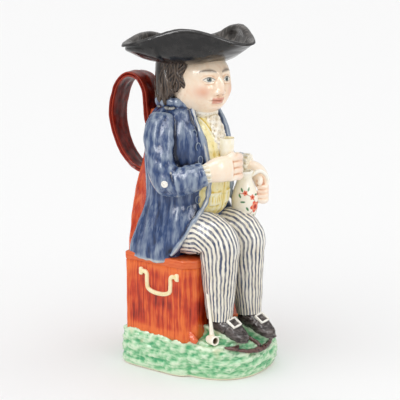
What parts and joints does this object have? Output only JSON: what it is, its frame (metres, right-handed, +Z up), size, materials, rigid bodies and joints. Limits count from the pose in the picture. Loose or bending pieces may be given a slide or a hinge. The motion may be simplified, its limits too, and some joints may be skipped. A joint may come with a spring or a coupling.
{
  "type": "toby jug",
  "caption": "Hollow glazed earthenware jug shaped as a sailor seated on a sea chest, with a loop handle behind; it is filled and poured through the opening in his cocked hat.",
  "frame": {"origin": "on the flat underside, below the middle of the seated figure", "axes": "+Z up, the figure looks along -Y with the handle towards +Y, and +X is the figure's left"},
  "size_m": [0.1084, 0.1569, 0.2908],
  "materials": {
    "glazed_earthenware": "painted and clear glazed earthenware"
  },
  "bodies": {
    "root": {"toby_jug": "glazed_earthenware"}
  },
  "joints": []
}
